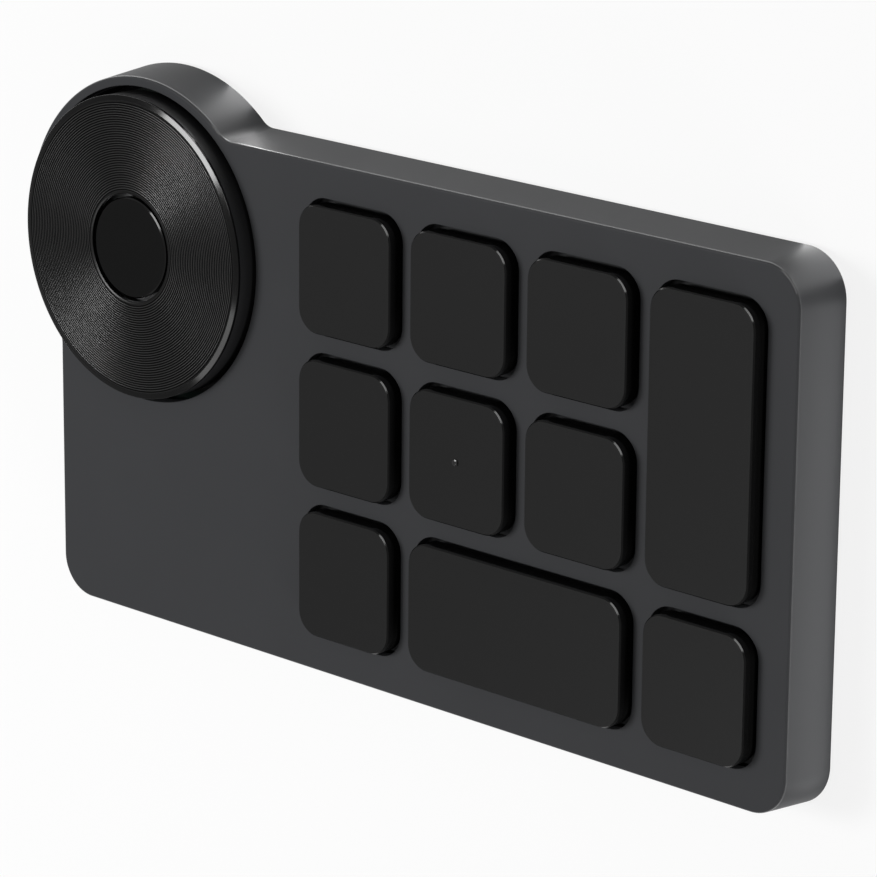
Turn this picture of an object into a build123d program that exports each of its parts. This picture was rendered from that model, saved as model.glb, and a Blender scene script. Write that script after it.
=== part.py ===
from build123d import *
import os
from math import atan, cos, degrees, radians, sin

# A flat desk remote with ten keys and a large dial, lying on its feet with the keys up.
# Millimetres. The origin is under the middle of the whole outline, on the desk.
# +X runs to the right along the keys, +Y to the rear, +Z up out of the face.

# Case, measured at its lower rim, where the leaning walls are widest
slab_width = 136.0
slab_depth = 73.4
corner_radius = 6.25
lobe_margin = 2.04
lobe_overhang = 6.35
lobe_fillet = 3.1
wall_height = 8.28
wall_lean = 0.68
face_bevel = 0.37
face_bevel_angle = 45.0
wall = 1.6
face_thickness = 1.5
face_rib = 0.9
face_rib_drop = 0.7
face_rib_count = 3

# Bottom cover and feet
foot_rise = 0.5
foot_seat = 0.4
foot_width = 5.6
foot_bevel = 0.2
dial_foot_radius = 7.0
base_thickness = 1.2
rim_height = 0.5
rim_inset = 0.15
rim_bevel = 0.35
lid_fit = 0.3
lip_thickness = 1.0
lip_height = 0.7
bay_rib = 0.9
bay_rib_height = 1.6

# Case screws and the bosses that take them
boss_inset = 4.3
boss_radius = 1.6
boss_pad = 0.6
rear_boss_gap = 1.04
case_screw_radius = 0.8
case_screw_length = 5.0
case_head_radius = 1.5
case_head_height = 0.55

# Main board
board_lift = 0.9
board_thickness = 1.0
board_inset = 3.0
board_screw_radius = 0.7
board_screw_length = 2.4
board_head_radius = 1.3
board_head_height = 0.5
standoff_radius = 2.0

# Battery, in the bay in front of the dial
battery_corner = 1.5
battery_lift = 0.2
battery_top_gap = 0.58
battery_front_gap = 3.4
battery_rear_gap = 2.19
battery_side_gap = 1.4
battery_port_gap = 7.25
tab_width = 3.0
tab_thickness = 0.15
tab_spacing = 8.0
tab_landing = 2.0

# Radio module on the board, between the dial and the keys
module_width = 5.4
module_depth = 13.0
module_height = 2.0
module_rim = 0.6
module_can_drop = 0.5
module_gap = 2.4

# Keys, in a grid that fills the face between the dial and the margins
column_count = 4
row_count = 3
column_gap = 3.68
row_gap = 3.7
dial_key_gap = 8.8
key_right_margin = 6.19
key_front_margin = 6.46
key_rear_margin = 6.14
key_corner = 3.3
key_gap = 0.62
key_rise = 1.83
key_travel = 1.2
key_bevel = 0.25
key_skin = 1.2
key_wall = 1.0
stem_side = 5.0
stem_corner = 0.8
hook_reach = 0.5
hook_height = 0.4
hook_width = 2.4
guide_radius = 1.2
dot_radius = 0.5
dot_top_radius = 0.25
dot_height = 0.22

# Key frame
frame_drop = 0.58
frame_thickness = 1.0
frame_margin = 0.3
frame_corner = 2.0
barrel_wall = 0.9
frame_boss_radius = 1.2
frame_screw_radius = 0.6
frame_screw_length = 1.5
frame_head_radius = 1.1
frame_head_height = 0.5

# Silicone domes
dome_base_radius = 4.4
dome_base_height = 0.5
dome_top_radius = 2.3
dome_wall = 0.5

# Dial
dial_radius = 21.54
dial_rise = 2.65
dial_rim_run = 0.74
dial_rim_drop = 0.22
dial_gap = 0.92
well_wall = 1.2
well_drop = 0.85
disc_thickness = 0.6
button_gap = 0.55
disc_hole_bevel = 0.15
web_thickness = 1.0
skirt_thickness = 1.2
skirt_depth = 4.0
hub_wall = 1.55
hub_ledge = 0.7
collar_height = 0.9
star_reach = 0.9
star_height = 1.6
star_notches = 24
notch_radius = 0.75
notch_depth = 0.35
detent_angle = 90.0

# Dial base, bush and retaining ring
post_wall = 1.0
bush_wall = 1.0
bush_flange = 1.4
bush_flange_height = 0.5
base_reach = 5.4
base_height = 1.0
clip_groove = 0.4
clip_width = 2.0
clip_thickness = 0.4
clip_cover = 0.3
clip_gap = 3.0
dial_screw_reach = 3.9
dial_screw_count = 3
dial_screw_angle = 30.0
dial_screw_radius = 0.7
dial_head_radius = 1.2
dial_head_height = 0.5
dial_screw_length = 3.0

# Detent spring and its anchor
leaf_thickness = 0.25
leaf_height = 1.4
leaf_reach = 8.6
leaf_tail = 3.0
nose_radius = 0.55
nose_drop = 0.2
anchor_width = 3.0
anchor_wall = 0.9

# Code ring and its sensor
code_gap = 3.74
code_wall = 0.6
code_depth = 3.6
code_teeth = 24
code_slot = 2.0
code_slot_depth = 2.2
sensor_width = 5.0
sensor_depth = 4.4
sensor_slot = 1.6
sensor_overlap = 2.0
sensor_angle = 215.0

# Centre button and its switch
button_radius = 7.15
button_sink = 0.1
button_travel = 0.4
button_thickness = 1.08
button_bevel = 0.2
button_stem_radius = 5.15
button_stem_wall = 1.1
pusher_radius = 1.5
lug_reach = 0.6
lug_height = 0.5
lug_width = 2.6
lug_room = 0.25
tact_side = 6.0
tact_height = 1.6
plunger_radius = 1.6
plunger_rise = 0.8
plunger_root = 0.3

# Charging port in the left wall
port_width = 8.94
port_height = 3.26
port_depth = 7.35
port_wall = 0.3
port_recess = 0.25
port_back = 1.6
port_reach = 20.0
tongue_width = 6.7
tongue_thickness = 0.7
tongue_setback = 0.8

# Power switch and slider in the left wall
slider_reach = 9.2
slider_travel = 2.0
knob_width = 2.4
knob_height = 1.6
knob_proud = 0.7
shutter_width = 6.6
shutter_height = 2.6
shutter_thickness = 0.7
switch_width = 7.4
switch_depth = 3.4
switch_height = 2.9
drive_width = 1.2
drive_depth = 1.3

# Clearances
run_fit = 0.05
screw_fit = 0.02
hole_fit = 0.1
seat_fit = 0.05
slide_fit = 0.15
room = 0.4
overrun = 1.0
same_place = 0.01

# Dial, from the button's stem out to the lobe
post_radius = button_stem_radius + lug_reach + lug_room + post_wall
hub_bore = post_radius + bush_wall + run_fit
hub_radius = hub_bore + hub_wall
star_radius = hub_radius + star_reach
base_radius = post_radius + base_reach
dial_screw_circle = post_radius + dial_screw_reach
disc_hole_radius = button_radius + button_gap
code_radius = dial_radius - skirt_thickness - code_gap
well_radius = dial_radius + dial_gap
well_outer = well_radius + well_wall
lobe_radius = well_radius + lobe_margin

# Plan positions worked out from the sizes above
dial_inset = lobe_radius - lobe_overhang
total_width = slab_width + lobe_overhang
total_depth = slab_depth + lobe_overhang
slab_left = lobe_overhang - total_width / 2
slab_right = total_width / 2
slab_front = -total_depth / 2
slab_rear = slab_front + slab_depth
slab_x = (slab_left + slab_right) / 2
slab_y = (slab_front + slab_rear) / 2
dial_x = slab_left + dial_inset
dial_y = slab_rear - dial_inset
grid_width = slab_width - dial_inset - well_outer - dial_key_gap - key_right_margin
grid_depth = slab_depth - key_front_margin - key_rear_margin
column_pitch = (grid_width + column_gap) / column_count
row_pitch = (grid_depth + row_gap) / row_count
key_width = column_pitch - column_gap
key_depth = row_pitch - row_gap
lean = wall_lean / (wall_height - face_bevel)
draft = degrees(atan(lean))

# Levels, from the desk up
foot_top = foot_rise + foot_seat
split_z = foot_rise + rim_height
floor_z = foot_rise + base_thickness
pad_z = floor_z + boss_pad
board_under = floor_z + board_lift
board_top = board_under + board_thickness
face_z = split_z + wall_height
face_under = face_z - face_thickness
frame_top = face_under - frame_drop
frame_under = frame_top - frame_thickness
key_top = face_z + key_rise
cap_under = key_top - key_skin
cap_low = frame_top + key_travel + slide_fit
barrel_top = cap_under - key_travel - slide_fit
stem_low = frame_under - seat_fit - hook_height
dome_top = stem_low - seat_fit
dial_top = face_z + dial_rise
disc_low = dial_top - disc_thickness
web_low = disc_low - web_thickness
skirt_low = disc_low - skirt_depth
hub_top = web_low - collar_height
base_top = board_top + base_height
bush_seat = base_top + bush_flange_height
hub_low = bush_seat + run_fit
star_top = hub_low + star_height
bush_top = hub_top - seat_fit
clip_low = hub_top + run_fit
post_top = clip_low + clip_thickness + clip_cover
code_low = web_low - code_depth
button_top = dial_top - button_sink
button_under = button_top - button_thickness
tact_top = board_top + tact_height
plunger_top = tact_top + plunger_rise
button_low = plunger_top + seat_fit
lug_seat = button_low + lug_height + seat_fit
port_z = board_top + port_height / 2
switch_z = board_top + switch_height / 2


def wall_x(z):
    """Outer face of the left wall at a level."""
    return slab_left + (z - split_z) * lean


def column_x(column):
    """Middle of a key column, counted from the left."""
    from_right = column_count - 1 - column
    return slab_right - key_right_margin - key_width / 2 - from_right * column_pitch


def row_y(row):
    """Middle of a key row, counted from the front."""
    return slab_front + key_front_margin + key_depth / 2 + row * row_pitch


def key_place(column, row, columns, rows):
    """Middle and size of a key that covers some columns and rows of the grid."""
    x = (column_x(column) + column_x(column + columns - 1)) / 2
    y = (row_y(row) + row_y(row + rows - 1)) / 2
    return x, y, key_width + (columns - 1) * column_pitch, key_depth + (rows - 1) * row_pitch


def crossing(column, row):
    """Where the gap right of a column meets the gap behind a row."""
    return (column_x(column) + column_x(column + 1)) / 2, (row_y(row) + row_y(row + 1)) / 2


# Keys by number: first column, first row, columns covered, rows covered
keys = {
    1: (0, 2, 1, 1),
    2: (1, 2, 1, 1),
    3: (2, 2, 1, 1),
    4: (3, 1, 1, 2),
    5: (0, 1, 1, 1),
    6: (1, 1, 1, 1),
    7: (2, 1, 1, 1),
    8: (0, 0, 1, 1),
    9: (1, 0, 2, 1),
    10: (3, 0, 1, 1),
}
dotted_key = 6

# Places of the screws
frame_screw_places = [crossing(column, row) for row in (0, 1) for column in (0, 1, 2)]
board_screw_places = [crossing(column, row) for row in (0, 1) for column in (0, 2)]
dial_screw_places = [
    (
        dial_x + dial_screw_circle * cos(radians(dial_screw_angle + 360 * turn / dial_screw_count)),
        dial_y + dial_screw_circle * sin(radians(dial_screw_angle + 360 * turn / dial_screw_count)),
    )
    for turn in range(dial_screw_count)
]

rear_boss_x = dial_x + well_outer + rear_boss_gap
case_bosses = [
    (slab_left + boss_inset, slab_front + boss_inset),
    (crossing(1, 0)[0], slab_front + boss_inset),
    (slab_right - boss_inset, slab_front + boss_inset),
    (slab_right - boss_inset, slab_rear - boss_inset),
    (rear_boss_x, slab_rear - boss_inset),
]

# The battery bay lies between the board's left arm and the first key column
battery_depth = slab_depth - dial_inset - well_outer - battery_rear_gap - battery_front_gap
battery_low = floor_z + battery_lift
battery_top = face_under - face_rib_drop - battery_top_gap
battery_right = column_x(0) - key_width / 2 - battery_side_gap
battery_left = wall_x(port_z) + port_recess + port_depth + battery_port_gap
battery_width = battery_right - battery_left
battery_x = (battery_left + battery_right) / 2
battery_y = slab_front + battery_front_gap + battery_depth / 2
bay_left = battery_left - seat_fit - bay_rib - room
bay_right = battery_right + seat_fit + bay_rib + room
bay_rear = battery_y + battery_depth / 2 + seat_fit + bay_rib + room

# Near and far face of the detent's leaf, and the sensor's place, out from the dial's middle
leaf_near = star_radius - notch_depth + hole_fit + nose_radius + nose_drop
leaf_far = leaf_near + leaf_thickness
sensor_place = Rot(0, 0, sensor_angle) * Pos(code_radius - code_wall / 2, 0)


def slab(plan, low, high):
    """Straight solid over a flat plan, from one level to another."""
    return extrude(Pos(0, 0, low) * plan, high - low, dir=(0, 0, 1))


def disc(radius, low, high, x=0, y=0):
    """Upright cylinder between two levels."""
    return slab(Pos(x, y) * Circle(radius), low, high)


def tube(outer, inner, low, high, x=0, y=0):
    """Upright tube between two levels."""
    return slab(Pos(x, y) * (Circle(outer) - Circle(inner)), low, high)


def block(left, right, front, rear, low, high):
    """Upright block between six planes."""
    plan = Pos((left + right) / 2, (front + rear) / 2) * Rectangle(right - left, rear - front)
    return slab(plan, low, high)


def joined(solids):
    """One solid from several that meet."""
    whole = solids[0]
    for solid in solids[1:]:
        whole = whole + solid
    return whole


def case_plan(grow):
    """Plan of the case grown by a step: a rounded slab, and the dial's lobe with its two hollow fillets."""
    body = RectangleRounded(slab_width + 2 * grow, slab_depth + 2 * grow, corner_radius + grow)
    side = dial_inset + overrun
    lobe_quarter = Pos(dial_x - side / 2, dial_y + side / 2) * Rectangle(side, side)
    plan = Pos(slab_x, slab_y) * body - lobe_quarter + Pos(dial_x, dial_y) * Circle(lobe_radius + grow)
    middle = Vector(dial_x, dial_y, 0)
    inner_corners = [
        corner for corner in plan.vertices()
        if abs((Vector(corner.X, corner.Y, 0) - middle).length - lobe_radius - grow) < same_place
    ]
    return fillet(inner_corners, lobe_fillet - grow)


def screw(x, y, seat, head_radius, head_height, shank_radius, length, head_up):
    """Pan-head screw on its seat, with the head above or below it."""
    if head_up:
        head = disc(head_radius, seat, seat + head_height, x, y)
        return head + disc(shank_radius, seat - length, seat, x, y)
    head = disc(head_radius, seat - head_height, seat, x, y)
    return head + disc(shank_radius, seat, seat + length, x, y)


def side_plane(x, y, z):
    """Plane across the left wall, looking to the right."""
    return Plane(origin=(x, y, z), x_dir=(0, 1, 0), z_dir=(1, 0, 0))


def foot_plans():
    """Plans of the front strip, the rear strip and the round pad under the dial."""
    front_y = slab_front + boss_inset
    rear_y = slab_rear - boss_inset
    right = slab_right - boss_inset
    plans = {}
    for name, left, y in (
        ("front_foot", slab_left + boss_inset, front_y),
        ("rear_foot", rear_boss_x, rear_y),
    ):
        length = right - left + foot_width
        plans[name] = Pos((left + right) / 2, y) * SlotOverall(length, foot_width)
    plans["dial_foot"] = Pos(dial_x, dial_y) * Circle(dial_foot_radius)
    return plans


def top_cover():
    """Moulded case top: leaning walls, bevelled face, key openings, dial well, bosses and inner ribs."""
    shoulder = face_z - face_bevel
    shell = extrude(Pos(0, 0, split_z) * case_plan(0), shoulder - split_z, taper=draft)
    edge = extrude(Pos(0, 0, shoulder) * case_plan(-wall_lean), face_bevel, taper=face_bevel_angle)
    hollow = extrude(Pos(0, 0, split_z) * case_plan(-wall), face_under - split_z, taper=draft)
    shell = shell + edge - hollow
    well_low = face_under - well_drop
    shell += tube(well_outer, well_radius - overrun, well_low, face_under, dial_x, dial_y)
    inside = extrude(Pos(0, 0, split_z) * case_plan(-wall / 2), face_under - split_z, taper=draft)
    ribs = []
    front = slab_front + wall
    rear = battery_y + battery_depth / 2
    rib_low = face_under - face_rib_drop
    rib_pitch = battery_width / (face_rib_count + 1)
    for turn in range(face_rib_count):
        left = battery_x - battery_width / 2 + rib_pitch * (turn + 1) - face_rib / 2
        ribs.append(block(left, left + face_rib, front, rear, rib_low, face_under))
    shell += inside & joined(ribs)
    for x, y in case_bosses:
        shell += disc(boss_radius, pad_z, face_under, x, y)
        shell -= disc(case_screw_radius + screw_fit, pad_z, pad_z + case_screw_length, x, y)
    for x, y in frame_screw_places:
        shell += disc(frame_boss_radius, frame_top, face_under, x, y)
        shell -= disc(frame_screw_radius + screw_fit, frame_top, frame_top + frame_screw_length, x, y)
    for column, row, columns, rows in keys.values():
        x, y, width, depth = key_place(column, row, columns, rows)
        opening = RectangleRounded(width + 2 * key_gap, depth + 2 * key_gap, key_corner + key_gap)
        shell -= slab(Pos(x, y) * opening, face_under, face_z)
    shell -= disc(well_radius, well_low, face_z, dial_x, dial_y)
    cut_from = slab_left - overrun
    cut_length = wall + wall_lean + 2 * overrun
    port = SlotOverall(port_width + 2 * hole_fit, port_height + 2 * hole_fit)
    port_y = slab_front + port_reach
    shell -= extrude(side_plane(cut_from, port_y, port_z) * port, cut_length)
    slot = Rectangle(knob_width + slider_travel + 2 * slide_fit, knob_height + 2 * slide_fit)
    slot_y = slab_front + slider_reach + slider_travel / 2
    shell -= extrude(side_plane(cut_from, slot_y, switch_z) * slot, cut_length)
    return shell


def bottom_cover():
    """Base plate with a bevelled rim, a lip inside the walls, standoffs, a battery bay and foot pockets."""
    rim = slab(case_plan(-rim_inset), foot_rise, split_z)
    rim = chamfer(rim.edges().group_by(Axis.Z)[0], rim_bevel)
    inner = -wall - lid_fit
    plate = slab(case_plan(inner), split_z, floor_z)
    lip = slab(case_plan(inner) - case_plan(inner - lip_thickness), floor_z, floor_z + lip_height)
    for x, y in case_bosses:
        lip -= disc(boss_radius + room, floor_z, floor_z + lip_height, x, y)
    cover = rim + plate + lip
    for x, y in case_bosses:
        cover += disc(boss_radius, floor_z, pad_z, x, y)
    for x, y in board_screw_places + dial_screw_places:
        cover += disc(standoff_radius, floor_z, board_under, x, y)
    bay = Rectangle(battery_width + 2 * (seat_fit + bay_rib), battery_depth + 2 * (seat_fit + bay_rib))
    bay -= Rectangle(battery_width + 2 * seat_fit, battery_depth + 2 * seat_fit)
    bay -= Rectangle(battery_width / 2, battery_depth + 2 * (seat_fit + bay_rib))
    cover += slab(Pos(battery_x, battery_y) * bay, floor_z, floor_z + bay_rib_height)
    for plan in foot_plans().values():
        cover -= slab(plan, foot_rise, foot_top)
    for x, y in case_bosses:
        cover -= disc(case_head_radius + hole_fit, foot_top, foot_top + case_head_height + seat_fit, x, y)
        cover -= disc(case_screw_radius + hole_fit, foot_top, pad_z, x, y)
    for x, y in board_screw_places:
        cover -= disc(board_screw_radius + screw_fit, board_top - board_screw_length, board_under, x, y)
    for x, y in dial_screw_places:
        low = base_top - dial_head_height - dial_screw_length
        cover -= disc(dial_screw_radius + screw_fit, low, board_under, x, y)
    return cover


def feet():
    """Rubber strips and pad, bevelled where they meet the desk."""
    pads = {}
    for name, plan in foot_plans().items():
        pad = slab(plan, 0, foot_top)
        pads[name] = chamfer(pad.edges().group_by(Axis.Z)[0], foot_bevel)
    return pads


def main_board():
    """Circuit board round the battery bay, with holes for the bosses and screws."""
    plan = case_plan(-board_inset)
    bay_front = slab_front - overrun
    bay = Rectangle(bay_right - bay_left, bay_rear - bay_front)
    plan -= Pos((bay_left + bay_right) / 2, (bay_front + bay_rear) / 2) * bay
    for x, y in case_bosses:
        plan -= Pos(x, y) * Circle(boss_radius + room)
    corner_x, corner_y = case_bosses[0]
    cut = boss_radius + room + board_inset
    plan -= Pos(corner_x, corner_y - cut / 2) * Rectangle(2 * cut, cut)
    for x, y in board_screw_places:
        plan -= Pos(x, y) * Circle(board_screw_radius + hole_fit)
    for x, y in dial_screw_places:
        plan -= Pos(x, y) * Circle(dial_screw_radius + hole_fit)
    return slab(plan, board_under, board_top)


def battery():
    """Flat pouch cell with rounded long sides and a folded top seam."""
    cell = slab(
        Pos(battery_x, battery_y) * RectangleRounded(battery_width, battery_depth, battery_corner),
        battery_low,
        battery_top,
    )
    return chamfer(cell.edges().group_by(Axis.Z)[-1], battery_corner / 2)


def battery_tabs():
    """Two flat tabs from the cell to the board."""
    cell_rear = battery_y + battery_depth / 2
    return Compound([
        block(
            battery_x + side * tab_spacing / 2 - tab_width / 2,
            battery_x + side * tab_spacing / 2 + tab_width / 2,
            cell_rear,
            bay_rear + tab_landing,
            board_top,
            board_top + tab_thickness,
        )
        for side in (-1, 1)
    ])


def radio_module():
    """Small board with a metal can, on the main board."""
    left = dial_x + well_outer + module_gap - module_width / 2
    right = left + module_width
    front = dial_y - module_depth / 2
    rear = dial_y + module_depth / 2
    carrier = block(left, right, front, rear, board_top, board_top + module_can_drop)
    can = block(
        left + module_rim,
        right - module_rim,
        front + module_rim,
        rear - module_rim,
        board_top + module_can_drop,
        board_top + module_height,
    )
    return carrier + can


def guide_offsets(columns, rows):
    """Middles of the grid cells of a long key, from the key's own middle; none for a single key."""
    if columns == 1 and rows == 1:
        return []
    across = (columns - 1) * column_pitch / 2
    along = (rows - 1) * row_pitch / 2
    return [(-across, -along), (across, along)]


def key_cap(number):
    """Hollow cap with a bevelled top, a square stem with two hooks and, on a long key, two guide pins."""
    column, row, columns, rows = keys[number]
    x, y, width, depth = key_place(column, row, columns, rows)
    cap = slab(RectangleRounded(width, depth, key_corner), cap_low, key_top)
    cap = chamfer(cap.edges().group_by(Axis.Z)[-1], key_bevel)
    inner = RectangleRounded(width - 2 * key_wall, depth - 2 * key_wall, key_corner - key_wall)
    cap -= slab(inner, cap_low, cap_under)
    cap += slab(RectangleRounded(stem_side, stem_side, stem_corner), stem_low, cap_under)
    cap += slab(Rectangle(stem_side + 2 * hook_reach, hook_width), stem_low, stem_low + hook_height)
    for guide_x, guide_y in guide_offsets(columns, rows):
        cap += disc(guide_radius, stem_low, cap_under, guide_x, guide_y)
    if number == dotted_key:
        dot = Cone(dot_radius, dot_top_radius, dot_height, align=(Align.CENTER, Align.CENTER, Align.MIN))
        cap += Pos(0, 0, key_top) * dot
    return Pos(x, y) * cap


def key_frame():
    """Plate under the face, with a square barrel for each stem and a sleeve for each guide pin."""
    x, y, width, depth = key_place(0, 0, column_count, row_count)
    plate = RectangleRounded(width + 2 * frame_margin, depth + 2 * frame_margin, frame_corner)
    frame = slab(Pos(x, y) * plate, frame_under, frame_top)
    bore = stem_side + 2 * run_fit
    for column, row, columns, rows in keys.values():
        key_x, key_y, _, _ = key_place(column, row, columns, rows)
        barrel_side = bore + 2 * barrel_wall
        barrel = RectangleRounded(barrel_side, barrel_side, stem_corner + barrel_wall)
        hole = RectangleRounded(bore, bore, stem_corner)
        frame += slab(Pos(key_x, key_y) * barrel, frame_under, barrel_top)
        frame -= slab(Pos(key_x, key_y) * hole, frame_under, barrel_top)
        for guide_x, guide_y in guide_offsets(columns, rows):
            pin_x = key_x + guide_x
            pin_y = key_y + guide_y
            frame += disc(guide_radius + run_fit + barrel_wall, frame_under, barrel_top, pin_x, pin_y)
            frame -= disc(guide_radius + run_fit, frame_under, barrel_top, pin_x, pin_y)
    for screw_x, screw_y in frame_screw_places:
        frame -= disc(frame_screw_radius + hole_fit, frame_under, frame_top, screw_x, screw_y)
    return frame


def key_dome(number):
    """Hollow silicone dome on the board, under a key's stem."""
    x, y, _, _ = key_place(*keys[number])
    shoulder = board_top + dome_base_height
    slope = dome_base_radius - dome_wall
    outline = Polyline(
        (slope - dome_wall, board_top),
        (dome_base_radius, board_top),
        (dome_base_radius, shoulder),
        (slope, shoulder),
        (dome_top_radius, dome_top),
        (0, dome_top),
        (0, dome_top - dome_wall),
        (dome_top_radius - dome_wall, dome_top - dome_wall),
        close=True,
    )
    return Pos(x, y) * revolve(Plane.XZ * make_face(outline), Axis.Z)


def dial_disc():
    """Turned face of the dial, bevelled at its rim and round the button."""
    outline = Polyline(
        (disc_hole_radius, disc_low),
        (dial_radius, disc_low),
        (dial_radius, dial_top - dial_rim_drop),
        (dial_radius - dial_rim_run, dial_top),
        (disc_hole_radius + disc_hole_bevel, dial_top),
        (disc_hole_radius, dial_top - disc_hole_bevel),
        close=True,
    )
    return Pos(dial_x, dial_y) * revolve(Plane.XZ * make_face(outline), Axis.Z)


def dial_wheel():
    """Wheel under the disc: web, skirt and a hub whose lower end is a notched star for the detent."""
    collar_bore = hub_radius - hub_ledge
    wheel = tube(dial_radius, collar_bore, web_low, disc_low)
    wheel += tube(dial_radius, dial_radius - skirt_thickness, skirt_low, web_low)
    wheel += tube(hub_radius, collar_bore, hub_top, web_low)
    wheel += tube(hub_radius, hub_bore, star_top, hub_top)
    notch_circle = star_radius - notch_depth + notch_radius
    star = Circle(star_radius) - Circle(hub_bore)
    star -= PolarLocations(notch_circle, star_notches, start_angle=detent_angle) * Circle(notch_radius)
    wheel += slab(star, hub_low, star_top)
    return Pos(dial_x, dial_y) * wheel


def dial_base():
    """Fixed flange with the hollow post that the dial turns on, and the anchor of the detent spring."""
    bore = button_stem_radius + run_fit
    base = disc(base_radius, board_top, base_top)
    relief = Rectangle(sensor_depth + 2 * room, sensor_width + 2 * room)
    base -= sensor_place * slab(relief, board_top, base_top)
    anchor_start = leaf_reach - nose_radius - leaf_tail
    anchor_end = anchor_start + anchor_width
    anchor_far = leaf_far + anchor_wall
    anchor = block(0, anchor_far, anchor_start, anchor_end, board_top, base_top)
    anchor += block(leaf_near - anchor_wall, anchor_far, anchor_start, anchor_end, base_top, star_top)
    base += Rot(0, 0, detent_angle) * anchor
    base += disc(post_radius, base_top, post_top)
    base -= disc(bore, board_top, post_top)
    base -= disc(button_stem_radius + lug_reach + lug_room, board_top, lug_seat)
    clip = Circle(post_radius) - Circle(post_radius - clip_groove)
    base -= slab(clip, clip_low, clip_low + clip_thickness)
    slit = block(leaf_near - screw_fit, leaf_far + screw_fit, anchor_start, anchor_end, hub_low, star_top)
    base -= Rot(0, 0, detent_angle) * slit
    base = Pos(dial_x, dial_y) * base
    for x, y in dial_screw_places:
        base -= disc(dial_screw_radius + hole_fit, board_top, base_top, x, y)
        base -= disc(dial_head_radius + hole_fit, base_top - dial_head_height, base_top, x, y)
    return base


def dial_bush():
    """Flanged sleeve on the post, which the wheel's hub turns on."""
    inner = post_radius + screw_fit
    outer = post_radius + bush_wall
    sleeve = tube(outer, inner, base_top, bush_top) + tube(outer + bush_flange, inner, base_top, bush_seat)
    return Pos(dial_x, dial_y) * sleeve


def retaining_ring():
    """Open spring ring in the post's groove, over the hub."""
    inner = post_radius - clip_groove + screw_fit
    ring = Circle(inner + clip_width) - Circle(inner)
    ring -= Pos(0, inner + clip_width / 2) * Rectangle(clip_gap, 2 * clip_width)
    low = clip_low + screw_fit
    return Pos(dial_x, dial_y) * slab(ring, low, clip_low + clip_thickness - screw_fit)


def detent_spring():
    """Leaf whose rounded nose rests in a notch of the star."""
    start = -nose_radius - leaf_tail / 2
    end = leaf_reach - nose_radius
    leaf = Pos((leaf_near + leaf_far) / 2, (start + end) / 2) * Rectangle(leaf_thickness, end - start)
    nose = Pos(leaf_near - nose_drop) * Circle(nose_radius)
    nose &= Pos(leaf_near - nose_radius) * Rectangle(2 * nose_radius, 2 * nose_radius)
    low = hub_low + screw_fit
    spring = slab(leaf + nose, low, low + leaf_height)
    return Pos(dial_x, dial_y) * Rot(0, 0, detent_angle) * spring


def encoder_ring():
    """Thin ring under the wheel's web, slotted like a crown so that light passes between its teeth."""
    ring = tube(code_radius, code_radius - code_wall, code_low, web_low)
    slot = slab(Rectangle(2 * code_wall + overrun, code_slot), code_low, code_low + code_slot_depth)
    for place in PolarLocations(code_radius - code_wall / 2, code_teeth):
        ring -= place * slot
    return Pos(dial_x, dial_y) * ring


def encoder_sensor():
    """Forked light gate on the board, which the code ring's teeth pass through."""
    top = code_low + sensor_overlap
    body = slab(Rectangle(sensor_depth, sensor_width), board_top, top)
    slot_low = code_low - room
    body -= slab(Rectangle(sensor_slot, sensor_width), slot_low, top)
    return Pos(dial_x, dial_y) * sensor_place * body


def centre_button():
    """Round button with a hollow stem, a pusher in its middle and two retaining lugs."""
    head = chamfer(disc(button_radius, button_under, button_top).edges().group_by(Axis.Z)[-1], button_bevel)
    stem = tube(button_stem_radius, button_stem_radius - button_stem_wall, button_low, button_under)
    pusher = disc(pusher_radius, button_low, button_under)
    reach = 2 * (button_stem_radius + lug_reach)
    lugs = slab(Rectangle(reach, lug_width) & Circle(reach / 2), button_low, button_low + lug_height)
    lugs -= disc(button_stem_radius - button_stem_wall, button_low, button_low + lug_height)
    return Pos(dial_x, dial_y) * (head + stem + pusher + lugs)


def centre_switch():
    """Push switch body on the board under the button."""
    body = slab(Rectangle(tact_side, tact_side), board_top, tact_top)
    well_floor = tact_top - plunger_root - button_travel - slide_fit
    body -= disc(plunger_radius + run_fit, well_floor, tact_top)
    return Pos(dial_x, dial_y) * body


def switch_plunger():
    """Plunger of the push switch, which moves with the button."""
    return disc(plunger_radius, tact_top - plunger_root, plunger_top, dial_x, dial_y)


def charging_port():
    """Metal shell of the port, closed at its rear, and the plastic tongue inside it."""
    y = slab_front + port_reach
    front = wall_x(port_z) + port_recess
    bore_width = port_width - 2 * port_wall
    bore_height = port_height - 2 * port_wall
    shell = extrude(side_plane(front, y, port_z) * SlotOverall(port_width, port_height), port_depth)
    bore_depth = port_depth - port_wall
    shell -= extrude(side_plane(front, y, port_z) * SlotOverall(bore_width, bore_height), bore_depth)
    plug = SlotOverall(bore_width - 2 * screw_fit, bore_height - 2 * screw_fit)
    back_x = front + bore_depth - port_back
    insert = extrude(side_plane(back_x, y, port_z) * plug, port_back - screw_fit)
    tip_x = front + tongue_setback
    tongue = Rectangle(tongue_width, tongue_thickness)
    insert += extrude(side_plane(tip_x, y, port_z) * tongue, back_x - tip_x)
    return shell, insert


def power_switch():
    """Slide switch body on the board, with a slot for the slider's drive."""
    front = slab_front + slider_reach + slider_travel / 2
    left = wall_x(board_top) + wall + room + shutter_thickness
    body = block(left, left + switch_depth, front - switch_width / 2, front + switch_width / 2,
                 board_top, board_top + switch_height)
    slot = Rectangle(drive_width + slider_travel + 2 * slide_fit, knob_height + 2 * slide_fit)
    body -= extrude(side_plane(left, front, switch_z) * slot, drive_depth + slide_fit)
    return body


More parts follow.
